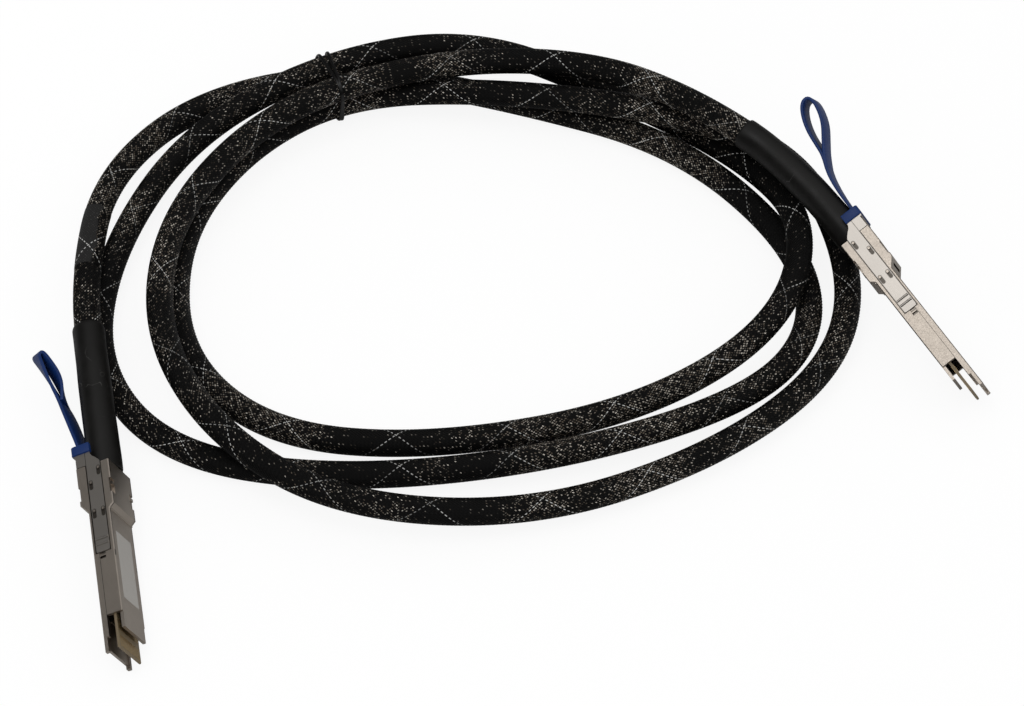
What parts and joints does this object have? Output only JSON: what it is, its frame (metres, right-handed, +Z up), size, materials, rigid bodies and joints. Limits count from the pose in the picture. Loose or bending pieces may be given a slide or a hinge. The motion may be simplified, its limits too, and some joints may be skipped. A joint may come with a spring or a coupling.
{
  "type": "direct attach cable",
  "caption": "Direct attach copper cable in a loose tied coil: braided black sleeve, heat-shrink boots, and a flat die-cast plug with a sliding latch and blue pull loop on each end.",
  "frame": {"origin": "on the surface it lies on, under the middle of the box round both plugs with their latches and pull loops", "axes": "+X from plug a's side of the coil to plug b's side, +Y away from both noses across the coil, +Z up"},
  "size_m": [0.3683, 0.2979, 0.0458],
  "materials": {
    "die_cast": "satin nickel plate",
    "steel_sheet": "satin",
    "pull": "satin blue elastomer",
    "spring_steel": "bright",
    "card": "satin laminate",
    "gold": "polished",
    "lead": "clear-coated foil",
    "potting": "matte",
    "crimp": "tinned",
    "label": "satin, bare",
    "sleeve": "braided monofilament",
    "shrink": "satin",
    "wrap": "matte",
    "tie": "coated wire"
  },
  "bodies": {
    "cable_set": {"cable": "sleeve", "boot_a": "shrink", "boot_b": "shrink", "id_wrap": "wrap", "twist_tie": "tie", "bottom_shell_a": "die_cast", "top_shell_a": "die_cast", "return_springs_a": "spring_steel", "paddle_card_a": "card", "card_contacts_a": "gold", "twinax_leads_a": "lead", "potting_block_a": "potting", "crimp_ferrule_a": "crimp", "rating_label_a": "label", "shell_screws_a": "spring_steel", "bottom_shell_b": "die_cast", "top_shell_b": "die_cast", "return_springs_b": "spring_steel", "paddle_card_b": "card", "card_contacts_b": "gold", "twinax_leads_b": "lead", "potting_block_b": "potting", "crimp_ferrule_b": "crimp", "rating_label_b": "label", "shell_screws_b": "spring_steel"},
    "latch_a": {"latch_slider_a": "steel_sheet", "pull_tab_a": "pull"},
    "latch_b": {"latch_slider_b": "steel_sheet", "pull_tab_b": "pull"}
  },
  "joints": [
    {"name": "latch_slide_a", "type": "slide", "parent": "cable_set", "child": "latch_a", "axis": [-0.1732, 0.9824, 0.0698], "range_m": [0, 0.0025], "stiffness_N_per_m": 400, "springref_m": -0.004, "deforming": ["return_springs_a"]},
    {"name": "latch_slide_b", "type": "slide", "parent": "cable_set", "child": "latch_b", "axis": [-0.5437, 0.8246, 0.1564], "range_m": [0, 0.0025], "stiffness_N_per_m": 400, "springref_m": -0.004, "deforming": ["return_springs_b"]}
  ]
}
